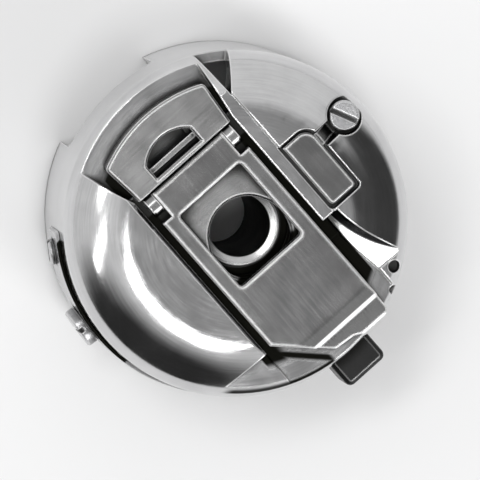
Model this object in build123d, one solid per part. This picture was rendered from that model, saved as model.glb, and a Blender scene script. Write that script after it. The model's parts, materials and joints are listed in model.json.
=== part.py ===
from build123d import *
import os

# Rotary-hook bobbin case, in millimetres.
# +Z is the case's axis and points out of the closed, latched face.
# +X points along the latch lever towards its free end. The open rim lies at z = 0.

# ---- case shell ----
OUTER_R = 11.25
WALL = 0.7
INNER_R = OUTER_R - WALL
CAVITY_TOP = 9.3
FLOOR_Z = 10.3
FACE_Z = 11.8
SHOULDER_START_R = 7.05
SHOULDER_END_Z = 9.2
INNER_CORNER_R = 0.35
RIM_CHAMFER = 0.15
TALL = 20.0

# ---- latch slot in the face ----
SLOT_HALF = 4.2
FLARE_X = -5.8
FLARE_MID_X = -8.7
FLARE_END_X = -12.5
FLARE_MINUS_MID_Y = -5.25
FLARE_MINUS_END_Y = -5.95
FLARE_PLUS_MID_Y = 4.65
FLARE_PLUS_END_Y = 5.25
UNDERCUT_HALF = 4.6
UNDERCUT_X = (-8.6, 4.9)
UNDERCUT_TOP = 10.95
STRIP_X = (-7.3, 3.2)
STRIP_END_Y = 5.15
STRIP_Z = 11.55
MINUS_BEVEL_X = (-7.6, 7.3)
MINUS_BEVEL = (0.28, 0.28)

# ---- finger relief, ledges and small cuts at the lever's free end ----
RELIEF_X = (3.2, 8.2)
RELIEF_CENTRE = (2.8, 13.35)
RELIEF_LOW_R = 8.5
RELIEF_FACE_R = 8.0
RELIEF_LOW_Z = 10.4
RELIEF_SLOPE = 6.0
LEDGE_Z = 10.7
LEDGE_MINUS_X = 7.25
LEDGE_PLUS_X = RELIEF_X[1]
TIP_SLOT_Y = 5.0
LEDGE_HOLE = (8.75, 5.8)
LEDGE_HOLE_R = 0.42
LEDGE_HOLE_Z = 9.6
RIM_NICK = (9.95, 4.8)
RIM_NICK_R = 0.3

# ---- open notch at the slot's other end ----
NOTCH_START = (-6.9, 5.05)
NOTCH_END = (-11.0, 8.85)
NOTCH_OUTER = (-13.0, 5.0)
NOTCH_Z = 8.9

# ---- window in the side wall and thread slit ----
CUTOUT_Y = (-4.6, 3.1)
CUTOUT_TOP = 5.0
CUTOUT_CORNER_R = 1.2
CUTOUT_NEAR_X = -6.0
SLIT_ANGLE = -38.0
SLIT_WIDTH = 0.45
SLIT_LENGTH = 8.4
SLIT_LEAN = 32.0
SLIT_END_Z = 4.6

# ---- centre tube ----
TUBE_R = 2.95
TUBE_SEAT_R = 3.25
BORE_R = 2.0
TUBE_LOW_Z = 0.3
TUBE_RIM_R = 2.6
TUBE_RIM_DROP = 0.5
TUBE_CHAMFER = 0.12
MOUTH_R = 2.45
MOUTH_DEPTH = 0.15
RIM_GROOVE_R = 3.35
FINGER_SLOT_HALF = 1.1
FINGER_SLOT_LOW_Z = 5.7
FLOOR_SLOT_X = (-4.4, -2.2)

# ---- latch slide ----
SLIDE_LOW_Z = 10.33
SLIDE_TOP_Z = 10.9
SLIDE_HALF = 4.5
SLIDE_X = (-4.05, 4.6)
LOCK_X = -1.75
LOCK_R = 2.5
APERTURE_END_X = 3.7
APERTURE_R = 2.65
APERTURE_BEVEL = 0.18
BLOCK_TOP_Z = 11.6
BLOCK_X = -5.66
BLOCK_HALF_IN = 3.9
BLOCK_HALF_OUT = 4.3
BLOCK_OUT_X = -9.6
BLOCK_ARC_R = 9.6
BLOCK_CORNER_R = 0.35
BLOCK_CHAMFER = 0.15
EYE_FLAT_X = -6.0
EYE_ROUND_X = -7.85
EYE_Y = -0.2
EYE_HALF = 1.85
EYE_CORNER_X = -7.05
EYE_BAR_X = (-6.7, -6.35)
EYE_BAR_TOP_Z = 11.05
EYE_POCKET_X = (-8.2, -6.2)
EYE_POCKET_HALF = 1.5
EYE_POCKET_Z = 9.7
ARM_OVERLAP = 0.4
FINGER_X = (-2.75, -2.3)
FINGER_HALF = 0.9
FINGER_LOW_Z = 6.0
EAR_X = (1.65, 2.5)
EAR_ROOT_Y = 3.5
EAR_PAD_Y = 5.65
EAR_END_Y = 6.85
EAR_TOP_Z = 11.0

# ---- lever hinge ----
HINGE_X = -4.85
HINGE_Z = 11.1
KNUCKLE_R = 0.75
KNUCKLE_HALF = 2.95
HEEL_X = -5.5
HEEL_CORNER_R = 0.25
HEEL_SWEEP_R = 0.95
LUG_Y = (3.0, 3.7)
LUG_FRONT_X = -3.75
PIN_R = 0.35
PIN_CLEARANCE = 0.04

# ---- latch lever ----
LEVER_HALF = 3.7
LEVER_LOW_Z = 11.05
LEVER_TOP_Z = 11.85
LEVER_SHOULDER_X = -3.6
LEVER_BEVEL_X = 8.2
LEVER_STEP_X = 9.15
LEVER_STEP_TOP_Z = 11.68
LEVER_LIP_TOP_Z = 11.2
LEVER_LIP_END_Z = 10.95
LEVER_LIP_LOW_Z = 10.65
LEVER_STEP_SLOPE = 0.08
LEVER_TIP_X = 10.7
LEVER_TIP_CORNER = 0.35
LEVER_CUT_START_X = 7.0
LEVER_CUT_END = (10.15, -0.55)
LEVER_NOSE_LOW = (10.3, 0.85)
LEVER_NOSE_Y = 1.6
WINDOW_X = (-3.3, 2.9)
WINDOW_HALF = 2.6
WINDOW_CORNER_R = 0.25
LEVER_EDGE_CHAMFER = 0.12

# ---- latch spring and its cover ----
SPRING_WALL_X = -1.75
SPRING_CAVITY_END_X = 2.65
SPRING_CAVITY_Y = (5.55, 6.95)
SPRING_CAVITY_Z = 9.8
SPRING_Y = 6.25
SPRING_Z = 10.47
SPRING_COIL_R = 0.5
SPRING_WIRE_R = 0.11
SPRING_TURNS = 7
TUNNEL_X = (0.2, SPRING_CAVITY_END_X)
TUNNEL_TOP_Z = 11.05
COVER_SEAT_Z = 11.15
COVER_TOP_Z = 11.72
RECESS_X = (-2.3, 3.1)
RECESS_Y = (5.05, 7.6)
RECESS_BIG_R = 1.1
RECESS_SMALL_R = 0.3
COVER_GAP = 0.24
TONGUE_X = -0.9
TONGUE_ROOT_Y = 6.6
TONGUE_HALF = 0.45
TONGUE_THICK = 0.18
TONGUE_BEND_Y = 8.5
TONGUE_END_Y = 10.3
TONGUE_GROOVE_HALF = 0.6

# ---- cover screw on the shoulder ----
COVER_SCREW = (-0.9, 9.7)
COVER_SEAT_LOW_Z = 10.42
COVER_SCREW_HEAD_R = 1.0
COVER_SCREW_HEAD = 0.55
COVER_SCREW_SHANK_R = 0.42
COVER_SCREW_END_Z = 9.35
COVER_SLOT_TURN = 25.0
COUNTERBORE_R = 1.22

# ---- thread-tension leaf spring and its screws ----
LEAF_IN_R = 11.27
LEAF_THICK = 0.23
LEAF_ROOT_X = -7.0
LEAF_TIP_X = 7.6
LEAF_Z = (3.0, 7.3)
LEAF_NECK_X = 2.2
LEAF_TAPER_END_X = 6.0
LEAF_TIP_Z = (3.9, 6.2)
LEAF_CORNER_R = 0.6
SCREW_Z = 5.2
TENSION_ANGLE = -95.0
TENSION_HEAD_R = 1.35
TENSION_HEAD = 0.65
TENSION_SHANK_R = 0.72
FIXING_ANGLE = -121.0
FIXING_HEAD_R = 0.85
FIXING_HEAD = 0.34
FIXING_SHANK_R = 0.5
THREAD_CLEARANCE = 0.03
SCREW_HOLE_START_R = 9.5
LEAF_HOLE_CLEARANCE = 0.1
HEAD_GAP = 0.01
HEAD_SEAT_R = LEAF_IN_R + LEAF_THICK + HEAD_GAP
SHANK_END_R = 10.62
FIXING_SLOT_TURN = 70.0
DRIVER_SLOT = 0.32
HEAD_CHAMFER = 0.1

# ---- position finger ----
HORN_X = (10.4, 13.3)
HORN_Y = (-1.4, 1.8)
HORN_Z = (5.4, 8.4)
HORN_IN_R = 10.57
HORN_WINDOW_X = 9.5
HORN_CORNER_R = 0.45
HORN_CHAMFER = 0.3

# ---- anti-backlash star spring ----
STAR_R = (6.3, 7.6)
STAR_THICK = 0.12
STAR_LEGS = 4
STAR_LEG_HALF = 0.75
STAR_LEG_R = 9.9
STAR_LEG_DROP = 0.75
STAR_FIRST_ANGLE = 45.0


def block(x, y, z):
    """A box given by its (low, high) pairs along each axis."""
    size = [high - low for low, high in (x, y, z)]
    centre = [(high + low) / 2 for low, high in (x, y, z)]
    return Pos(*centre) * Box(*size)


def disc(radius, low_z, high_z, x=0.0, y=0.0):
    """An upright cylinder from low_z to high_z."""
    return Pos(x, y, (low_z + high_z) / 2) * Cylinder(radius, high_z - low_z)


def radial(shape, angle, height):
    """Turn a shape built along +Z so that +Z points out of the wall at an angle about the axis."""
    return Pos(0, 0, height) * Rot(0, 0, angle) * Rot(0, 90, 0) * shape


def plan_prism(outline, low_z, high_z):
    """A prism over a closed outline drawn in plan."""
    return extrude(Pos(0, 0, low_z) * make_face(outline), high_z - low_z)


def edges_at_height(shape, height, tolerance=0.01):
    """The edges that lie wholly at one height."""
    return [
        edge
        for edge in shape.edges()
        if abs(edge.bounding_box().min.Z - height) < tolerance
        and abs(edge.bounding_box().max.Z - height) < tolerance
    ]


def shell_blank():
    """The turned cup: side wall, end wall and rounded shoulder."""
    shoulder = EllipticalCenterArc(
        (SHOULDER_START_R, SHOULDER_END_Z),
        OUTER_R - SHOULDER_START_R,
        FACE_Z - SHOULDER_END_Z,
        start_angle=0,
        arc_size=90,
    )
    rest = Polyline(
        (SHOULDER_START_R, FACE_Z),
        (0, FACE_Z),
        (0, CAVITY_TOP),
        (INNER_R - INNER_CORNER_R, CAVITY_TOP),
        (INNER_R, CAVITY_TOP - INNER_CORNER_R),
        (INNER_R, RIM_CHAMFER),
        (INNER_R + RIM_CHAMFER, 0),
        (OUTER_R - RIM_CHAMFER, 0),
        (OUTER_R, RIM_CHAMFER),
        (OUTER_R, SHOULDER_END_Z),
    )
    section = Plane.XZ * make_face(Curve() + [shoulder, rest])
    return revolve(section, Axis.Z)


def slot_outline():
    """The latch slot in plan, flared towards -X and beside the lever's tip."""
    minus_flare = ThreePointArc(
        (FLARE_X, -SLOT_HALF),
        (FLARE_MID_X, FLARE_MINUS_MID_Y),
        (FLARE_END_X, FLARE_MINUS_END_Y),
    )
    plus_flare = ThreePointArc(
        (FLARE_END_X, FLARE_PLUS_END_Y),
        (FLARE_MID_X, FLARE_PLUS_MID_Y),
        (FLARE_X, SLOT_HALF),
    )
    end = Line(minus_flare @ 1, plus_flare @ 0)
    straight = Polyline(
        (FLARE_X, SLOT_HALF),
        (RELIEF_X[0], SLOT_HALF),
        (RELIEF_X[1], TIP_SLOT_Y),
        (RELIEF_X[1], SLOT_HALF),
        (TALL, SLOT_HALF),
        (TALL, -SLOT_HALF),
        (FLARE_X, -SLOT_HALF),
    )
    return Curve() + [minus_flare, end, plus_flare, straight]


def slot_bevel():
    """The narrow bevel along the slot's -Y edge, drawn as a three-sided bar."""
    width, drop = MINUS_BEVEL
    edge = Polyline(
        (-SLOT_HALF + width, FACE_Z - 2 * drop),
        (-SLOT_HALF - width, FACE_Z),
        (-SLOT_HALF + width, FACE_Z),
        close=True,
    )
    bar = extrude(Plane.YZ * make_face(edge), MINUS_BEVEL_X[1] - MINUS_BEVEL_X[0])
    return Pos(MINUS_BEVEL_X[0], 0, 0) * bar


def finger_relief():
    """The relief beside the lever's tip: a sloping ledge outside a steep cone."""
    scoop = Rot(RELIEF_SLOPE, 0, 0) * block(RELIEF_X, (0, OUTER_R), (0, TALL))
    scoop = Pos(0, SLOT_HALF, RELIEF_LOW_Z) * scoop
    cone = Cone(RELIEF_LOW_R, RELIEF_FACE_R, FACE_Z - RELIEF_LOW_Z)
    kept = Pos(*RELIEF_CENTRE, (FACE_Z + RELIEF_LOW_Z) / 2) * cone
    return (scoop & block(RELIEF_X, (0, OUTER_R), (0, FACE_Z))) - kept


def notch():
    """The open notch through the shoulder beside the slot's flared end."""
    outline = Polyline(NOTCH_START, NOTCH_END, NOTCH_OUTER, close=True)
    return plan_prism(outline, NOTCH_Z, TALL)


def recess_outline(gap=0.0):
    """The cover's outline in plan, with one large and three small corners."""
    low_x, high_x = RECESS_X[0] + gap, RECESS_X[1] - gap
    low_y, high_y = RECESS_Y[0] + gap, RECESS_Y[1] - gap
    plate = Pos((low_x + high_x) / 2, (low_y + high_y) / 2) * Rectangle(high_x - low_x, high_y - low_y)
    big = plate.vertices().sort_by(Axis.Y)[-2:].sort_by(Axis.X)[0]
    plate = fillet(big, RECESS_BIG_R - gap)
    small = plate.vertices().group_by(Axis.X)[-1]
    return fillet(small, RECESS_SMALL_R)


def spring_pocket():
    """The cover's recess, the coil's cavity and the tunnel for the slide's ear."""
    recess = extrude(Pos(0, 0, COVER_SEAT_Z) * recess_outline(), FACE_Z)
    cavity = block((SPRING_WALL_X, SPRING_CAVITY_END_X), SPRING_CAVITY_Y, (SPRING_CAVITY_Z, FACE_Z))
    tunnel = block(TUNNEL_X, (0, SPRING_CAVITY_Y[1]), (FLOOR_Z, TUNNEL_TOP_Z))
    return recess + cavity + tunnel


def tongue_profile(rise, start_y, end_y):
    """The cover tongue's side view, from the pocket down to the screw's seat."""
    return Polyline(
        (start_y, COVER_SEAT_Z),
        (RECESS_Y[1], COVER_SEAT_Z),
        (TONGUE_BEND_Y, COVER_SEAT_LOW_Z),
        (end_y, COVER_SEAT_LOW_Z),
        (end_y, COVER_SEAT_LOW_Z + rise),
        (TONGUE_BEND_Y, COVER_SEAT_LOW_Z + rise),
        (RECESS_Y[1], COVER_SEAT_Z + rise),
        (start_y, COVER_SEAT_Z + rise),
        close=True,
    )


def tongue_bar(rise, half, start_y, end_y):
    """The tongue, or the groove that it lies in."""
    bar = extrude(Plane.YZ * make_face(tongue_profile(rise, start_y, end_y)), half, both=True)
    return Pos(TONGUE_X, 0, 0) * bar


def wall_cutout():
    """The window through the side wall behind the latch."""
    width = CUTOUT_Y[1] - CUTOUT_Y[0]
    opening = Pos(sum(CUTOUT_Y) / 2, 0) * Rectangle(width, 2 * CUTOUT_TOP)
    top = opening.vertices().group_by(Axis.Y)[-1]
    opening = fillet(top, CUTOUT_CORNER_R)
    through = extrude(Plane.YZ * opening, -TALL)
    return through & block((-TALL, CUTOUT_NEAR_X), (-TALL, TALL), (-TALL, TALL))


def thread_slit():
    """The leaning slit that leads the thread under the leaf spring."""
    cut = Box(SLIT_LENGTH, SLIT_WIDTH, 2 * WALL)
    cut = Pos(SLIT_LENGTH / 2, 0, 0) * cut
    cut = Rot(0, 0, -SLIT_LEAN) * cut
    return radial(Pos(0, 0, (OUTER_R + INNER_R) / 2) * cut, SLIT_ANGLE, SLIT_END_Z)


def case_body():
    """The polished shell with every cut that the other pieces sit in."""
    body = shell_blank()
    body -= plan_prism(slot_outline(), FLOOR_Z, TALL)
    body -= block(UNDERCUT_X, (-UNDERCUT_HALF, UNDERCUT_HALF), (FLOOR_Z, UNDERCUT_TOP))
    body -= block(STRIP_X, (0, STRIP_END_Y), (STRIP_Z, TALL))
    body -= slot_bevel()
    body -= finger_relief()
    body -= block((LEDGE_MINUS_X, TALL), (-TALL, -SLOT_HALF), (LEDGE_Z, TALL))
    body -= block((LEDGE_PLUS_X, TALL), (SLOT_HALF, TALL), (LEDGE_Z, TALL))
    body -= block((LEDGE_PLUS_X, TALL), (0, TIP_SLOT_Y), (FLOOR_Z, TALL))
    body -= disc(LEDGE_HOLE_R, LEDGE_HOLE_Z, TALL, *LEDGE_HOLE)
    body -= disc(RIM_NICK_R, LEDGE_HOLE_Z, TALL, *RIM_NICK)
    body -= notch()
    body -= spring_pocket()
    body -= tongue_bar(FACE_Z, TONGUE_GROOVE_HALF, TONGUE_ROOT_Y, COVER_SCREW[1])
    body -= disc(COUNTERBORE_R, COVER_SEAT_LOW_Z, TALL, *COVER_SCREW)
    body -= disc(COVER_SCREW_SHANK_R, 0, TALL, *COVER_SCREW)
    body -= disc(TUBE_SEAT_R, 0, TALL)
    body -= disc(RIM_GROOVE_R, FLOOR_Z - TUBE_RIM_DROP, TALL)
    body -= block(FLOOR_SLOT_X, (-FINGER_SLOT_HALF, FINGER_SLOT_HALF), (0, TALL))
    body -= block(EYE_POCKET_X, (EYE_Y - EYE_POCKET_HALF, EYE_Y + EYE_POCKET_HALF), (EYE_POCKET_Z, TALL))
    body -= wall_cutout()
    body -= thread_slit()
    tension_hole_r = TENSION_SHANK_R + THREAD_CLEARANCE
    body -= radial(disc(tension_hole_r, SCREW_HOLE_START_R, TALL), TENSION_ANGLE, SCREW_Z)
    body -= radial(disc(FIXING_SHANK_R, SCREW_HOLE_START_R, TALL), FIXING_ANGLE, SCREW_Z)
    body -= block((HORN_WINDOW_X, TALL), HORN_Y, HORN_Z)
    return body


def center_tube():
    """The hub tube, pressed into the end wall on a wider seat, with a slot for the slide's finger."""
    tube = disc(TUBE_R, TUBE_LOW_Z, CAVITY_TOP)
    tube += disc(TUBE_SEAT_R, CAVITY_TOP, FLOOR_Z - TUBE_RIM_DROP)
    tube += disc(TUBE_RIM_R, CAVITY_TOP, FLOOR_Z)
    tube -= disc(BORE_R, 0, TALL)
    tube -= Pos(0, 0, FLOOR_Z - MOUTH_DEPTH / 2) * Cone(BORE_R, MOUTH_R, MOUTH_DEPTH)
    tube = chamfer(edges_at_height(tube, TUBE_LOW_Z), TUBE_CHAMFER)
    slot = block((-TALL, 0), (-FINGER_SLOT_HALF, FINGER_SLOT_HALF), (FINGER_SLOT_LOW_Z, TALL))
    return tube - slot


def slide_block():
    """The thick end of the slide: a sector with its D-shaped eye."""
    outline = Polyline(
        (BLOCK_X, -BLOCK_HALF_IN),
        (BLOCK_OUT_X, -BLOCK_HALF_OUT),
        (BLOCK_OUT_X, BLOCK_HALF_OUT),
        (BLOCK_X, BLOCK_HALF_IN),
        close=True,
    )
    sector = plan_prism(outline, SLIDE_LOW_Z, BLOCK_TOP_Z) & disc(BLOCK_ARC_R, 0, TALL)
    corners = sector.edges().filter_by(Axis.Z).sort_by(Axis.X)[:2]
    sector = fillet(corners, BLOCK_CORNER_R) - slide_eye()
    top_edges = ShapeList(edges_at_height(sector, BLOCK_TOP_Z)).sort_by(Axis.X)[:-1]
    sector = chamfer(top_edges, BLOCK_CHAMFER)
    sector -= hinge_cylinder(HEEL_SWEEP_R, -LUG_Y[0], LUG_Y[0])
    bar = block(EYE_BAR_X, (EYE_Y - EYE_HALF, EYE_Y + EYE_HALF), (SLIDE_LOW_Z, EYE_BAR_TOP_Z))
    return sector + bar


def slide_eye():
    """The eye's cutter: flat towards the hinge, rounded towards the rim."""
    round_side = ThreePointArc(
        (EYE_CORNER_X, EYE_Y - EYE_HALF), (EYE_ROUND_X, EYE_Y), (EYE_CORNER_X, EYE_Y + EYE_HALF)
    )
    flat_side = Polyline(
        (EYE_CORNER_X, EYE_Y + EYE_HALF),
        (EYE_FLAT_X, EYE_Y + EYE_HALF),
        (EYE_FLAT_X, EYE_Y - EYE_HALF),
        (EYE_CORNER_X, EYE_Y - EYE_HALF),
    )
    return plan_prism(Curve() + [round_side, flat_side], 0, TALL)


def hinge_cylinder(radius, low_y, high_y):
    """A cylinder about the lever's hinge axis."""
    bar = Rot(90, 0, 0) * Cylinder(radius, high_y - low_y)
    return Pos(HINGE_X, (low_y + high_y) / 2, HINGE_Z) * bar


def slide_lug(side):
    """One of the two ears that hold the hinge pin. side is -1 or 1."""
    low_y, high_y = sorted((side * LUG_Y[0], side * LUG_Y[1]))
    lug = hinge_cylinder(KNUCKLE_R, low_y, high_y)
    lug += block((BLOCK_X, LUG_FRONT_X), (low_y, high_y), (SLIDE_LOW_Z, SLIDE_TOP_Z))
    lug += block((HINGE_X - KNUCKLE_R, HINGE_X + KNUCKLE_R), (low_y, high_y), (SLIDE_LOW_Z, HINGE_Z))
    return lug


def bevelled_hole(radius, x):
    """The cutter of a round hole through the slide, with its top edge bevelled."""
    bevel = Cone(radius, radius + APERTURE_BEVEL, APERTURE_BEVEL)
    return disc(radius, 0, TALL, x) + Pos(x, 0, SLIDE_TOP_Z - APERTURE_BEVEL / 2) * bevel


def slide_aperture():
    """The long hole around the bore. The edge of its -X end locks on the stud."""
    return bevelled_hole(LOCK_R, LOCK_X + LOCK_R) + bevelled_hole(APERTURE_R, APERTURE_END_X - APERTURE_R)


def latch_slide():
    """The spring-loaded plate that locks the case on its stud."""
    height = (SLIDE_LOW_Z, SLIDE_TOP_Z)
    plate = block(SLIDE_X, (-SLIDE_HALF, SLIDE_HALF), height) - slide_aperture()
    for side in (-1, 1):
        low_y, high_y = sorted((side * LUG_Y[0], side * SLIDE_HALF))
        plate += block((BLOCK_X - ARM_OVERLAP, SLIDE_X[0] + ARM_OVERLAP), (low_y, high_y), height)
        plate += slide_lug(side)
    plate += slide_block()
    plate += block(FINGER_X, (-FINGER_HALF, FINGER_HALF), (FINGER_LOW_Z, SLIDE_TOP_Z))
    plate += block(EAR_X, (EAR_ROOT_Y, EAR_END_Y), height)
    plate += block(EAR_X, (EAR_PAD_Y, EAR_END_Y), (SLIDE_LOW_Z, EAR_TOP_Z))
    return plate - hinge_cylinder(PIN_R, -LUG_Y[1], LUG_Y[1])


def lever_side_view():
    """The lever's section along its length, with the bevelled, stepped tip."""
    return Polyline(
        (HINGE_X, LEVER_TOP_Z),
        (LEVER_BEVEL_X, LEVER_TOP_Z),
        (LEVER_STEP_X, LEVER_STEP_TOP_Z),
        (LEVER_STEP_X + LEVER_STEP_SLOPE, LEVER_LIP_TOP_Z),
        (LEVER_TIP_X - LEVER_EDGE_CHAMFER, LEVER_LIP_END_Z),
        (LEVER_TIP_X, LEVER_LIP_END_Z - LEVER_EDGE_CHAMFER),
        (LEVER_TIP_X, LEVER_LIP_LOW_Z),
        (LEVER_STEP_X, LEVER_LIP_LOW_Z),
        (LEVER_BEVEL_X, LEVER_LOW_Z),
        (HINGE_X, LEVER_LOW_Z),
        close=True,
    )


def lever_plan():
    """The lever's outline in plan. One tip corner is cut away for the fingernail."""
    return Polyline(
        (HINGE_X - KNUCKLE_R, -LEVER_HALF),
        (LEVER_CUT_START_X, -LEVER_HALF),
        LEVER_CUT_END,
        LEVER_NOSE_LOW,
        (LEVER_TIP_X, LEVER_NOSE_Y),
        (LEVER_TIP_X, LEVER_HALF - LEVER_TIP_CORNER),
        (LEVER_TIP_X - LEVER_TIP_CORNER, LEVER_HALF),
        (HINGE_X - KNUCKLE_R, LEVER_HALF),
        close=True,
    )


def lever_window():
    """The window over the hub, with rounded corners."""
    centre_x = sum(WINDOW_X) / 2
    opening = Pos(centre_x, 0) * RectangleRounded(
        WINDOW_X[1] - WINDOW_X[0], 2 * WINDOW_HALF, WINDOW_CORNER_R
    )
    return extrude(opening, TALL)


def lever_heel():
    """The lever's hinged end: a round knuckle with a squared top edge."""
    heel = block((HEEL_X, HINGE_X), (-KNUCKLE_HALF, KNUCKLE_HALF), (HINGE_Z, LEVER_TOP_Z))
    corner = heel.edges().filter_by(Axis.Y).group_by(Axis.Z)[-1].sort_by(Axis.X)[0]
    return fillet(corner, HEEL_CORNER_R) + hinge_cylinder(KNUCKLE_R, -KNUCKLE_HALF, KNUCKLE_HALF)


def latch_lever():
    """The hinged finger lever that lies in the slot."""
    lever = extrude(Plane.XZ * make_face(lever_side_view()), LEVER_HALF, both=True)
    lever &= plan_prism(lever_plan(), 0, TALL)
    lever -= lever_window()
    top_edges = ShapeList(edges_at_height(lever, LEVER_TOP_Z)).sort_by(Axis.X)[1:]
    lever = chamfer(top_edges, LEVER_EDGE_CHAMFER)
    for side in (-1, 1):
        low_y, high_y = sorted((side * KNUCKLE_HALF, side * TALL))
        lever -= block((-TALL, LEVER_SHOULDER_X), (low_y, high_y), (0, TALL))
    lever += lever_heel()
    return lever - hinge_cylinder(PIN_R + PIN_CLEARANCE, -TALL, TALL)


def lever_hinge_pin():
    """The plain pin through the slide's ears and the lever's knuckle."""
    return hinge_cylinder(PIN_R, -LUG_Y[1], LUG_Y[1])


def latch_spring():
    """The small compression coil that pushes the slide towards +X."""
    length = EAR_X[0] - SPRING_WALL_X - 2 * SPRING_WIRE_R
    path = Helix(length / SPRING_TURNS, length, SPRING_COIL_R)
    section = Plane(origin=path @ 0, z_dir=path % 0) * Circle(SPRING_WIRE_R)
    coil = sweep(section, path=path)
    return Pos(SPRING_WALL_X + SPRING_WIRE_R, SPRING_Y, SPRING_Z) * Rot(0, 90, 0) * coil


def spring_cover():
    """The leaf that closes the spring's pocket, with a tongue under the cover screw."""
    cover = extrude(Pos(0, 0, COVER_SEAT_Z) * recess_outline(COVER_GAP), COVER_TOP_Z - COVER_SEAT_Z)
    cover = chamfer(edges_at_height(cover, COVER_TOP_Z), LEVER_EDGE_CHAMFER)
    cover += tongue_bar(TONGUE_THICK, TONGUE_HALF, TONGUE_ROOT_Y, TONGUE_END_Y)
    return cover - disc(COVER_SCREW_SHANK_R, 0, TALL, *COVER_SCREW)


def slotted_screw(head_r, head, shank_r, seat, end):
    """A slotted cheese-head screw along +Z, its head resting at seat and its shank reaching end."""
    top = disc(head_r, seat, seat + head)
    top = chamfer(edges_at_height(top, seat + head), HEAD_CHAMFER)
    slot = block((-TALL, TALL), (-DRIVER_SLOT / 2, DRIVER_SLOT / 2), (seat + head / 2, TALL))
    return top - slot + disc(shank_r, end, seat)


def cover_screw():
    """The small screw on the shoulder that clamps the cover's tongue."""
    seat = COVER_SEAT_LOW_Z + TONGUE_THICK
    screw = slotted_screw(
        COVER_SCREW_HEAD_R, COVER_SCREW_HEAD, COVER_SCREW_SHANK_R, seat, COVER_SCREW_END_Z
    )
    return Pos(*COVER_SCREW, 0) * Rot(0, 0, COVER_SLOT_TURN) * screw


def tension_spring():
    """The curved leaf that presses the thread against the wall."""
    outline = Polyline(
        (LEAF_ROOT_X, LEAF_Z[0]),
        (LEAF_NECK_X, LEAF_Z[0]),
        (LEAF_TAPER_END_X, LEAF_TIP_Z[0]),
        (LEAF_TIP_X, LEAF_TIP_Z[0]),
        (LEAF_TIP_X, LEAF_TIP_Z[1]),
        (LEAF_TAPER_END_X, LEAF_TIP_Z[1]),
        (LEAF_NECK_X, LEAF_Z[1]),
        (LEAF_ROOT_X, LEAF_Z[1]),
        close=True,
    )
    face = make_face(outline)
    face = fillet(face.vertices().group_by(Axis.X)[0], LEAF_CORNER_R)
    blank = extrude(Plane.XZ * face, TALL)
    leaf = blank & (disc(LEAF_IN_R + LEAF_THICK, 0, TALL) - disc(LEAF_IN_R, 0, TALL))
    leaf -= radial(disc(TENSION_SHANK_R + LEAF_HOLE_CLEARANCE, 0, TALL), TENSION_ANGLE, SCREW_Z)
    return leaf - radial(disc(FIXING_SHANK_R, 0, TALL), FIXING_ANGLE, SCREW_Z)


def tension_screw():
    """The screw that sets how hard the leaf presses."""
    screw = slotted_screw(TENSION_HEAD_R, TENSION_HEAD, TENSION_SHANK_R, HEAD_SEAT_R, SHANK_END_R)
    return radial(screw, TENSION_ANGLE, SCREW_Z)


def tension_spring_fixing_screw():
    """The small screw that holds the leaf's root."""
    screw = slotted_screw(FIXING_HEAD_R, FIXING_HEAD, FIXING_SHANK_R, HEAD_SEAT_R, SHANK_END_R)
    return radial(Rot(0, 0, FIXING_SLOT_TURN) * screw, FIXING_ANGLE, SCREW_Z)


def position_finger():
    """The horn that stops the case from turning in its hook."""
    horn = block(HORN_X, HORN_Y, HORN_Z) - disc(HORN_IN_R, 0, TALL)
    outer = horn.edges().filter_by(Axis.Z).sort_by(Axis.X)[-2:]
    horn = fillet(outer, HORN_CORNER_R)
    rounded_part_x = HORN_X[1] - HORN_CORNER_R
    tip_edges = [e for e in edges_at_height(horn, HORN_Z[1]) if e.center().X > rounded_part_x]
    return chamfer(tip_edges, HORN_CHAMFER)


def star_leg():
    """One sloping leg of the star spring, pointing along +X."""
    low = CAVITY_TOP - STAR_THICK
    root = STAR_R[1] - 2 * STAR_THICK
    side = Polyline(
        (root, CAVITY_TOP),
        (STAR_LEG_R, CAVITY_TOP - STAR_LEG_DROP),
        (STAR_LEG_R, low - STAR_LEG_DROP),
        (root, low),
        close=True,
    )
    return extrude(Plane.XZ * make_face(side), STAR_LEG_HALF, both=True)


def anti_backlash_spring():
    """The thin star-shaped leaf under the end wall that brakes the bobbin."""
    star = disc(STAR_R[1], CAVITY_TOP - STAR_THICK, CAVITY_TOP)
    star -= disc(STAR_R[0], 0, TALL)
    for turn in range(STAR_LEGS):
        star += Rot(0, 0, STAR_FIRST_ANGLE + turn * 360 / STAR_LEGS) * star_leg()
    return star


PIECES = (
    case_body,
    center_tube,
    latch_slide,
    latch_lever,
    lever_hinge_pin,
    latch_spring,
    spring_cover,
    cover_screw,
    tension_spring,
    tension_screw,
    tension_spring_fixing_screw,
    position_finger,
    anti_backlash_spring,
)

os.makedirs("parts", exist_ok=True)
for piece in PIECES:
    export_step(piece(), f"parts/{piece.__name__}.step")
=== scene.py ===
import json
import math

import bpy
from mathutils import Matrix, Vector


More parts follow.
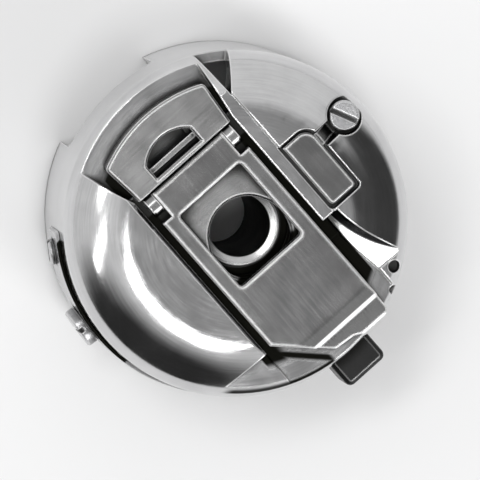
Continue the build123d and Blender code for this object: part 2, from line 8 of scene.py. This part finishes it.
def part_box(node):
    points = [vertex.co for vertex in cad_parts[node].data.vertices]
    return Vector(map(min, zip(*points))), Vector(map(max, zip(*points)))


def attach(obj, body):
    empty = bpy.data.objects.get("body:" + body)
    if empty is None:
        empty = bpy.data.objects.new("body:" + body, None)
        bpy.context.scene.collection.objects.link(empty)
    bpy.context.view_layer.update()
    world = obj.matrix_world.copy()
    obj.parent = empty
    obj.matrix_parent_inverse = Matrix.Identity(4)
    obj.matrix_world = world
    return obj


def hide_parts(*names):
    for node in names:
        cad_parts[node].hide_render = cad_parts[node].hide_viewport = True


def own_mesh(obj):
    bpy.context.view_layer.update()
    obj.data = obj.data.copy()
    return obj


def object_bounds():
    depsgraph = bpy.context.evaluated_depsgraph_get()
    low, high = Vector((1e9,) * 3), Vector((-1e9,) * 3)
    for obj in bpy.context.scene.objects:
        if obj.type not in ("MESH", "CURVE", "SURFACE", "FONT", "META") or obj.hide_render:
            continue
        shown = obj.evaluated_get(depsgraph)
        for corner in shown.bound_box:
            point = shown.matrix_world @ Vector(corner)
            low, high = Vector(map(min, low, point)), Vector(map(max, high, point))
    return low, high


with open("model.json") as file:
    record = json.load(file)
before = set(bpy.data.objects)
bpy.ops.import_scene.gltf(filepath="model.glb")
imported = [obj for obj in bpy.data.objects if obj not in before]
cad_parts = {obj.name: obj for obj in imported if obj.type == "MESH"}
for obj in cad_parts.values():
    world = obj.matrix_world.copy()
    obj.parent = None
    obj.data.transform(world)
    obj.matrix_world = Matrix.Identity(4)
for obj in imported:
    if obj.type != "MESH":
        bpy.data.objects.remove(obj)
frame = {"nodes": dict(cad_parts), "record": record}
CAD_LOW, CAD_HIGH = [Vector(corner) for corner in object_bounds()]
MM = 0.001

# ---- camera ----
VIEW_DIRECTION = Vector((-0.18, -0.06, 0.98)).normalized()
VIEW_UP = Vector((-0.755, 0.656, 0.0))
VIEW_DISTANCE = 0.42
AIM_HEIGHT = 0.75 * CAD_HIGH.z
FRAME_WIDTH = 31 * MM
SENSOR = 36.0
CLIP_START = 0.01

# ---- stage ----
FLOOR_SIZE = 1.6
FLOOR_COLORS = ((0.80, 0.80, 0.805, 1), (0.86, 0.86, 0.86, 1))
FLOOR_ROUGHNESS = 0.75
FLOOR_CLOUD_SCALE = 14.0
CEILING = 0.78
# direction, inner and outer angle in degrees, and how bright the room is there
ROOM_PATCHES = (
    ((-0.6, 0.5, 0.45), 20, 70, 0.85),
    ((0.18, 0.06, 0.98), 4, 22, 0.36),
    ((0.557, 0.663, 0.5), 22, 36, 0.06),
    ((0.36, 0.302, 0.883), 9, 16, 0.07),
    ((0.35, -0.8, 0.35), 25, 52, 0.035),
)
LIGHT_DISTANCE = 0.6
# name, direction, size in metres, and radiance
LIGHTS = (
    ("softbox", (0.21, -0.15, 0.966), (0.17, 0.10), 11.0),
    ("strip", (-0.2, -0.5, 0.72), (0.05, 0.25), 6.0),
    ("key", (-0.48, -0.17, 0.86), (0.11, 0.30), 9.0),
    ("fill", (0.90, 0.02, 0.44), (0.30, 0.22), 6.5),
)

# ---- where painted shade and painted highlights lie ----
# a pair is where a mark begins and where it is full; R is a distance from the case's axis
# painted shade in the bore, round the tube's rim and along the latch slot
BORE_SHADE_R = (2.12 * MM, 2.02 * MM)
RIM_SHADE_R = (2.68 * MM, 2.80 * MM)
SLOT_SHADE_R = (9.9 * MM, 9.1 * MM)
SLOT_SHADE_Y = (4.8 * MM, 4.6 * MM)
ABOVE_CUP_Z = (9.32 * MM, 9.37 * MM)
SLOT_TOP_Z = (10.95 * MM, 10.8 * MM)
# noisy patches where the slot's painted shade is lighter
LIGHTER_PATCH_Y = (3.5 * MM, 2.8 * MM)
LIGHTER_PATCH_R = (4.0 * MM, 4.7 * MM)
LIGHTER_PATCH_SCALE = 600.0
LIGHTER_PATCH_TONES = (0.3, 0.7)
LIGHTER_PATCH_STRENGTH = (0.2, 0.5)
# where the ledge's painted shadow lines are drawn
LEDGE_Z = 10.2 * MM
LEDGE_X = (7.3 * MM, 7.9 * MM)
LEDGE_Y = (-0.6 * MM, -1.2 * MM)
# the painted shadow line under the lever's cut corner: its normal, how far off the axis it runs, and half
# its width
CORNER_NORMAL = (0.70, -0.715, 0.0)
CORNER_OFFSET = 8.16 * MM
CORNER_HALF = (0.5 * MM, 0.1 * MM)
# a painted shadow line along the case's rim beside the ledge
RIM_LINE_R = 10.88 * MM
RIM_LINE_HALF = (0.4 * MM, 0.1 * MM)
# painted shade on the slide's sides and on its end
SLIDE_SIDE_Y = (3.45 * MM, 3.6 * MM)
SLIDE_FRONT_X = (-4.6 * MM, -4.4 * MM)
SLIDE_END_X = (2.3 * MM, 2.6 * MM)
# painted shade along the leaf's upper edge
LEAF_TOP_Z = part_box("tension_spring")[1][2]
LEAF_EDGE_Z = (LEAF_TOP_Z - 0.06 * MM, LEAF_TOP_Z - 0.01 * MM)
# painted highlight on the lever's tip ridges
TIP_RIDGES_X = (9.15 * MM, 10.75 * MM)
TIP_RIDGE_HALF = (0.24 * MM, 0.12 * MM)
# painted shade: how far the darkening of gaps reaches, how strong it is, its colour and the roughness it
# adds
GAP_SHADE_REACH = 1.4 * MM
GAP_SHADE_OPENNESS = (0.92, 0.52)
GAP_SHADE_STRENGTH = 0.95
PAINTED_SHADE_COLOR = (0.005, 0.005, 0.004, 1)
PAINTED_SHADE_ROUGHNESS = 0.25
OPENNESS_SAMPLES = 8

# ---- metal surface ----
# a scale is in noise cells per metre, or per radian round the rings
# a pair of cosines, tones or opennesses is where an effect begins and where it is full
EDGE_ROUNDING = 0.15 * MM
EDGE_SAMPLES = 6
# painted highlight on sharp edges: how sharp, how open the place must be, and how much metal it takes away
EDGE_COSINES = (0.998, 0.95)
EDGE_OPENNESS = (0.3, 0.55)
EDGE_HIGHLIGHT_METALLIC_DROP = 0.9
FINE_SCALE = 9000.0
LONG_SCALE = 350.0
RING_ANGLE_SCALE = 3.0
GRAIN_HEIGHT = 0.01 * MM
CLOUD_SCALE = 420.0
CLOUD_SHARE = 0.6
COLOR_TONES = (0.3, 0.7)
ROUGHNESS_TONES = (0.25, 0.75)
DULL_SHADE = 0.84
NOISE_ROUGHNESS = 0.55


def make_camera():
    """A long lens above the case, leaning a little towards the slide's end."""
    centre = (CAD_LOW + CAD_HIGH) / 2
    centre.z = AIM_HEIGHT
    back = VIEW_DIRECTION
    right = VIEW_UP.cross(back).normalized()
    up = back.cross(right)
    data = bpy.data.cameras.new("camera")
    data.sensor_width = SENSOR
    data.lens = SENSOR * VIEW_DISTANCE / FRAME_WIDTH
    data.clip_start = CLIP_START
    camera = bpy.data.objects.new("camera", data)
    place = Matrix((right, up, back)).transposed().to_4x4()
    place.translation = centre + back * VIEW_DISTANCE
    camera.matrix_world = place
    bpy.context.scene.collection.objects.link(camera)
    bpy.context.scene.camera = camera


def make_light(name, direction, size, radiance):
    """A soft rectangular light, aimed at the case."""
    data = bpy.data.lights.new(name, "AREA")
    data.shape = "RECTANGLE"
    data.size, data.size_y = size
    data.energy = radiance * math.pi * size[0] * size[1]
    light = bpy.data.objects.new(name, data)
    away = Vector(direction).normalized()
    across = (Vector((1, 0, 0)) - away * away.x).normalized()
    turn = Matrix((across, away.cross(across), away)).transposed()
    light.matrix_world = Matrix.Translation(away * LIGHT_DISTANCE) @ turn.to_4x4()
    bpy.context.scene.collection.objects.link(light)


class Nodes:
    """A small helper that adds nodes to one node tree and wires them up."""

    def __init__(self, tree):
        self.tree = tree

    def feed(self, socket, value):
        """Link a socket to an input, or set the input to a number or a tuple."""
        if isinstance(value, bpy.types.NodeSocket):
            self.tree.links.new(value, socket)
        else:
            socket.default_value = value

    def add(self, kind, settings=(), **inputs):
        """Add a node, with its settings and with its inputs fed by name."""
        node = self.tree.nodes.new(kind)
        for key, value in dict(settings).items():
            setattr(node, key, value)
        for key, value in inputs.items():
            self.feed(node.inputs[key], value)
        return node

    def add_in_order(self, kind, settings, values):
        """Add a node, with its settings and with its inputs fed from the first on."""
        node = self.add(kind, settings)
        for socket, value in zip(node.inputs, values):
            self.feed(socket, value)
        return node

    def result(self, node):
        """The output that the node's settings leave in use."""
        return next(s for s in node.outputs if s.enabled)

    def math(self, operation, *values):
        """The result of an operation on numbers."""
        return self.add_in_order("ShaderNodeMath", {"operation": operation}, values).outputs[0]

    def vector(self, operation, *values):
        """A vector operation's result, which is a vector or a number."""
        node = self.add_in_order("ShaderNodeVectorMath", {"operation": operation}, values)
        return self.result(node)

    def remap(self, value, low, high, to_low=0.0, to_high=1.0):
        """Turn low to high smoothly into to_low to to_high."""
        settings = {"interpolation_type": "SMOOTHSTEP"}
        row = (value, low, high, to_low, to_high)
        return self.add_in_order("ShaderNodeMapRange", settings, row).outputs[0]

    def product(self, *values):
        """All the values multiplied together, two or more."""
        result = values[0]
        for value in values[1:]:
            result = self.math("MULTIPLY", result, value)
        return result

    def apart(self, a, b):
        """How far two values are from each other."""
        return self.math("ABSOLUTE", self.math("SUBTRACT", a, b))

    def split(self, place):
        """The x, y and z of a point."""
        return list(self.add("ShaderNodeSeparateXYZ", Vector=place).outputs)

    def mix(self, factor, a, b):
        """A blend of two colours."""
        node = self.add("ShaderNodeMix", {"data_type": "RGBA"})
        for name, value in (("Factor", factor), ("A", a), ("B", b)):
            socket = next(s for s in node.inputs if s.name == name and s.enabled)
            self.feed(socket, value)
        return self.result(node)

    def noise(self, vector, scale, detail):
        """Cloudy noise from 0 to 1."""
        node = self.add("ShaderNodeTexNoise", Vector=vector, Scale=scale, Detail=detail,
                        Roughness=NOISE_ROUGHNESS)
        return node.outputs[0]


def room_patch(n, away, direction, inner, outer):
    """1 within inner degrees of a direction, 0 beyond outer degrees."""
    aim = tuple(Vector(direction).normalized())
    cosine = n.vector("DOT_PRODUCT", away, aim)
    return n.remap(cosine, math.cos(math.radians(outer)), math.cos(math.radians(inner)))


def make_world():
    """A plain pale room, with the darker patches that the polished shoulder mirrors."""
    world = bpy.data.worlds.new("room")
    world.use_nodes = True
    bpy.context.scene.world = world
    n = Nodes(world.node_tree)
    coordinates = n.add("ShaderNodeTexCoord").outputs["Generated"]
    away = n.vector("NORMALIZE", coordinates)
    shade = CEILING
    for direction, inner, outer, level in ROOM_PATCHES:
        amount = room_patch(n, away, direction, inner, outer)
        shade = n.add("ShaderNodeMix", {"data_type": "FLOAT"}, Factor=amount, A=shade, B=level).outputs[0]
    n.feed(world.node_tree.nodes["Background"].inputs["Color"], shade)


def make_floor():
    """A plain pale table top."""
    mesh = bpy.data.meshes.new("table_top")
    half = FLOOR_SIZE / 2
    corners = [(-half, -half, 0), (half, -half, 0), (half, half, 0), (-half, half, 0)]
    mesh.from_pydata(corners, [], [(0, 1, 2, 3)])
    floor = bpy.data.objects.new("table_top", mesh)
    bpy.context.scene.collection.objects.link(floor)
    material = bpy.data.materials.new("table_top")
    material.use_nodes = True
    n = Nodes(material.node_tree)
    shader = material.node_tree.nodes["Principled BSDF"]
    place = n.add("ShaderNodeTexCoord").outputs["Object"]
    cloud = n.noise(place, FLOOR_CLOUD_SCALE, detail=3.0)
    n.feed(shader.inputs["Base Color"], n.mix(cloud, *FLOOR_COLORS))
    shader.inputs["Roughness"].default_value = FLOOR_ROUGHNESS
    mesh.materials.append(material)


# ---- marks: each takes a point of the piece and gives a strength from 0 to 1 ----
def nowhere(n, place):
    """No mark beyond those that the shape itself brings."""
    return 0.0


def axis_distance(n, x, y):
    """How far a point is from the case's axis."""
    flat = n.add("ShaderNodeCombineXYZ", X=x, Y=y, Z=0.0).outputs[0]
    return n.vector("LENGTH", flat)


def tip_painted_highlight(n, place):
    """Painted highlight on the two ridges at the lever's tip."""
    x = n.split(place)[0]
    ridges = [n.remap(n.apart(x, ridge), *TIP_RIDGE_HALF) for ridge in TIP_RIDGES_X]
    return n.math("MAXIMUM", *ridges)


def ledge_painted_shadow(n, place):
    """Painted shadow lines on the ledge, under the lever's cut corner and along the rim."""
    x, y, z = n.split(place)
    across = n.vector("DOT_PRODUCT", place, CORNER_NORMAL)
    corner = n.remap(n.apart(across, CORNER_OFFSET), *CORNER_HALF)
    rim = n.remap(n.apart(axis_distance(n, x, y), RIM_LINE_R), *RIM_LINE_HALF)
    lines = n.math("MAXIMUM", corner, rim)
    high = n.math("GREATER_THAN", z, LEDGE_Z)
    return n.product(lines, n.remap(x, *LEDGE_X), n.remap(y, *LEDGE_Y), high)


def slot_painted_shade(n, place):
    """Painted shade on the slot floor under the plates and round the hub, lighter in noisy patches along the
    slot's middle.
    """
    x, y, z = n.split(place)
    radius = axis_distance(n, x, y)
    side = n.math("ABSOLUTE", y)
    inside = n.product(n.remap(radius, *SLOT_SHADE_R), n.remap(side, *SLOT_SHADE_Y),
                       n.remap(z, *SLOT_TOP_Z), n.remap(z, *ABOVE_CUP_Z))
    patch_noise = n.remap(n.noise(place, LIGHTER_PATCH_SCALE, detail=4.0), *LIGHTER_PATCH_TONES, *LIGHTER_PATCH_STRENGTH)
    lighter_patch = n.product(n.remap(side, *LIGHTER_PATCH_Y), n.remap(radius, *LIGHTER_PATCH_R), patch_noise)
    return n.product(inside, n.math("SUBTRACT", 1.0, lighter_patch))


def case_painted_shade(n, place):
    """The painted shade of the slot and the painted shadow lines of the ledge."""
    return n.math("MAXIMUM", slot_painted_shade(n, place), ledge_painted_shadow(n, place))


def tube_painted_shade(n, place):
    """Painted shade: black on the bore's wall and round the outside of the tube's rim."""
    x, y, z = n.split(place)
    radius = axis_distance(n, x, y)
    outside = n.product(n.remap(radius, *RIM_SHADE_R), n.remap(z, *ABOVE_CUP_Z))
    return n.math("MAXIMUM", n.remap(radius, *BORE_SHADE_R), outside)


def slide_painted_shade(n, place):
    """Painted shade on the slide's edges and end, which run in the gaps beside and under the lever."""
    x, y = n.split(place)[:2]
    beside = n.product(n.remap(n.math("ABSOLUTE", y), *SLIDE_SIDE_Y), n.remap(x, *SLIDE_FRONT_X))
    return n.math("MAXIMUM", beside, n.remap(x, *SLIDE_END_X))


def leaf_painted_shade(n, place):
    """Painted shade: the leaf's narrow upper edge is painted black."""
    return n.remap(n.split(place)[2], *LEAF_EDGE_Z)


# ---- grains: each takes a point of the piece and gives a height from 0 to 1 ----
def turned_grain(n, place):
    """Fine rings about the case's axis."""
    x, y, z = n.split(place)
    outward = n.math("MULTIPLY", axis_distance(n, x, y), FINE_SCALE)
    around = n.math("MULTIPLY", n.math("ARCTAN2", y, x), RING_ANGLE_SCALE)
    upward = n.math("MULTIPLY", z, FINE_SCALE)
    rings = n.add("ShaderNodeCombineXYZ", X=outward, Y=around, Z=upward).outputs[0]
    return n.noise(rings, scale=1.0, detail=2.0)


def brushed_grain(stretch):
    """Fine straight lines, drawn out along the axis whose scale is the small one."""
    def grain(n, place):
        lines = n.vector("MULTIPLY", place, stretch)
        return n.noise(lines, scale=1.0, detail=3.0)
    return grain


def fine_grain(n, place):
    """A close, even satin with no direction."""
    return n.noise(place, FINE_SCALE, detail=2.0)


BRUSHED_ALONG = brushed_grain((LONG_SCALE, FINE_SCALE, FINE_SCALE))
BRUSHED_ACROSS = brushed_grain((FINE_SCALE, LONG_SCALE, FINE_SCALE))


# ---- metals ----
def painted_edge_highlight(n, rounded, strength, highlight_mark):
    """Painted highlight: near 1 along sharp edges and on the highlight mark, near 0 on open faces."""
    flat = n.add("ShaderNodeNewGeometry").outputs["Normal"]
    cosine = n.vector("DOT_PRODUCT", rounded, flat)
    sharp = n.math("MULTIPLY", n.remap(cosine, *EDGE_COSINES), strength)
    return n.math("MAXIMUM", sharp, highlight_mark)


def painted_shade_and_highlight(n, edges, shade_mark):
    """Painted shade in gaps and on the shade marks, and the painted edge highlights that it leaves free."""
    settings = {"samples": OPENNESS_SAMPLES}
    openness = n.add("ShaderNodeAmbientOcclusion", settings, Distance=GAP_SHADE_REACH).outputs["AO"]
    gaps = n.math("MULTIPLY", n.remap(openness, *GAP_SHADE_OPENNESS), GAP_SHADE_STRENGTH)
    painted_shade = n.math("MAXIMUM", gaps, shade_mark)
    unshaded = n.math("SUBTRACT", n.remap(openness, *EDGE_OPENNESS), shade_mark)
    return painted_shade, n.math("MAXIMUM", n.math("MULTIPLY", edges, unshaded), 0.0)


def steel(name, color, roughness, grain, grain_depth, edge_highlight_color, edge_highlight_strength=0.6,
          shade_mark=nowhere, highlight_mark=nowhere, rounding=EDGE_ROUNDING):
    """Steel whose grain, painted shade and painted edge highlights come from the piece's own coordinates.

    roughness is its range, grain is the polishing marks, the shade mark is extra painted shade and the
    highlight mark is extra painted highlight.
    """
    material = bpy.data.materials.new(name)
    material.use_nodes = True
    n = Nodes(material.node_tree)
    shader = material.node_tree.nodes["Principled BSDF"]
    place = n.add("ShaderNodeTexCoord").outputs["Object"]
    marks = grain(n, place)
    cloud = n.math("MULTIPLY", n.noise(place, CLOUD_SCALE, detail=4.0), CLOUD_SHARE)
    tone = n.math("ADD", cloud, n.math("MULTIPLY", marks, 1.0 - CLOUD_SHARE))
    rounded = n.add("ShaderNodeBevel", {"samples": EDGE_SAMPLES}, Radius=rounding).outputs[0]
    edges = painted_edge_highlight(n, rounded, edge_highlight_strength, highlight_mark(n, place))
    # painted shade in gaps and on the shade marks, and painted edge highlights where it leaves the edges
    # free
    painted_shade, edges = painted_shade_and_highlight(n, edges, shade_mark(n, place))
    dull = tuple(c * DULL_SHADE for c in color[:3]) + (1.0,)
    base = n.mix(n.remap(tone, *COLOR_TONES), dull, color)
    # painted shade: the colour goes near black in gaps and on the shade marks
    base = n.mix(painted_shade, base, PAINTED_SHADE_COLOR)
    # painted highlight: edges turn pale and lose their metal
    n.feed(shader.inputs["Base Color"], n.mix(edges, base, edge_highlight_color))
    metallic_drop = n.math("MULTIPLY", edges, EDGE_HIGHLIGHT_METALLIC_DROP)
    n.feed(shader.inputs["Metallic"], n.math("SUBTRACT", 1.0, metallic_drop))
    spread = n.remap(tone, *ROUGHNESS_TONES, *roughness)
    n.feed(shader.inputs["Roughness"], n.math("ADD", spread, n.math("MULTIPLY", painted_shade, PAINTED_SHADE_ROUGHNESS)))
    bump = n.add("ShaderNodeBump", Strength=grain_depth, Distance=GRAIN_HEIGHT, Height=marks, Normal=rounded)
    n.feed(shader.inputs["Normal"], bump.outputs[0])
    return material


def polished_case():
    """The shell: turned and polished, with painted shade in its slot and painted shadow lines on its ledge.
    """
    return steel("polished_case", color=(0.66, 0.66, 0.665, 1), roughness=(0.07, 0.16), grain=turned_grain,
                 grain_depth=0.12, edge_highlight_color=(0.85, 0.85, 0.85, 1), edge_highlight_strength=0.7, shade_mark=case_painted_shade)


def tube_with_painted_shade():
    """The hub tube: fine-turned, with black painted shade in its bore and round its rim."""
    return steel("tube_with_painted_shade", color=(0.60, 0.60, 0.60, 1), roughness=(0.2, 0.32), grain=turned_grain,
                 grain_depth=0.4, edge_highlight_color=(0.8, 0.8, 0.8, 1), shade_mark=tube_painted_shade)


def satin_steel():
    """Flat plate, brushed along the lever."""
    return steel("satin_steel", color=(0.27, 0.27, 0.27, 1), roughness=(0.16, 0.22), grain=BRUSHED_ALONG,
                 grain_depth=0.2, edge_highlight_color=(0.95, 0.95, 0.95, 1), edge_highlight_strength=1.0, rounding=0.2 * MM)


def lever_steel():
    """The lever: brushed along its length, with rounded edges and painted highlights on its edges and tip
    ridges.
    """
    return steel("lever_steel", color=(0.27, 0.27, 0.27, 1), roughness=(0.16, 0.22), grain=BRUSHED_ALONG,
                 grain_depth=0.2, edge_highlight_color=(0.95, 0.95, 0.95, 1), edge_highlight_strength=1.0, highlight_mark=tip_painted_highlight,
                 rounding=0.28 * MM)


def slide_steel():
    """The slide: brushed across, with painted shade on the edges that run in the gaps."""
    return steel("slide_steel", color=(0.34, 0.34, 0.34, 1), roughness=(0.18, 0.26), grain=BRUSHED_ACROSS,
                 grain_depth=0.2, edge_highlight_color=(0.92, 0.92, 0.92, 1), edge_highlight_strength=1.0, shade_mark=slide_painted_shade)


def screw_steel():
    """Screws and the hinge pin: lightly polished."""
    return steel("screw_steel", color=(0.55, 0.55, 0.56, 1), roughness=(0.18, 0.3), grain=fine_grain,
                 grain_depth=0.3, edge_highlight_color=(0.8, 0.8, 0.8, 1))


def spring_steel():
    """The coil and the star spring: polished."""
    return steel("spring_steel", color=(0.52, 0.52, 0.53, 1), roughness=(0.16, 0.28), grain=fine_grain,
                 grain_depth=0.2, edge_highlight_color=(0.75, 0.75, 0.75, 1))


def leaf_steel():
    """The tension leaf: polished, with painted shade black along its upper edge."""
    return steel("leaf_steel", color=(0.52, 0.52, 0.53, 1), roughness=(0.16, 0.28), grain=fine_grain,
                 grain_depth=0.2, edge_highlight_color=(0.75, 0.75, 0.75, 1), shade_mark=leaf_painted_shade)


def finger_steel():
    """The horn: ground, and very dark."""
    return steel("finger_steel", color=(0.028, 0.028, 0.028, 1), roughness=(0.3, 0.4), grain=fine_grain,
                 grain_depth=0.5, edge_highlight_color=(0.5, 0.5, 0.5, 1))


SLOT_FINISHES = {
    "polished_case": polished_case,
    "satin_steel": satin_steel,
    "screw_steel": screw_steel,
    "spring_steel": spring_steel,
    "finger_steel": finger_steel,
}
OWN_FINISHES = {
    "center_tube": tube_with_painted_shade,
    "latch_slide": slide_steel,
    "latch_lever": lever_steel,
    "tension_spring": leaf_steel,
}


def dress_cad_nodes():
    """Give every CAD node its own finish, or else the finish of its material slot."""
    slots = {row["node"]: row["material_slot"] for row in frame["record"]["subparts"]}
    shared = {slot: make() for slot, make in SLOT_FINISHES.items()}
    own = {name: make() for name, make in OWN_FINISHES.items()}
    for name, node in frame["nodes"].items():
        node.data.materials.clear()
        node.data.materials.append(own[name] if name in own else shared[slots[name]])


def make_latch_coil():
    """The latch's coil spring, copied onto the case with a mesh of its own; the slide shortens the real
    spring as it opens, but this copy keeps its shape.
    """
    node = frame["nodes"]["latch_spring"]
    coil = bpy.data.objects.new("latch_coil", node.data.copy())
    bpy.context.scene.collection.objects.link(coil)
    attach(coil, "case")
    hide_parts("latch_spring")
    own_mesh(coil)


make_camera()
make_world()
make_floor()
for light_row in LIGHTS:
    make_light(*light_row)
dress_cad_nodes()
make_latch_coil()

bpy.context.scene.view_settings.view_transform = "Standard"
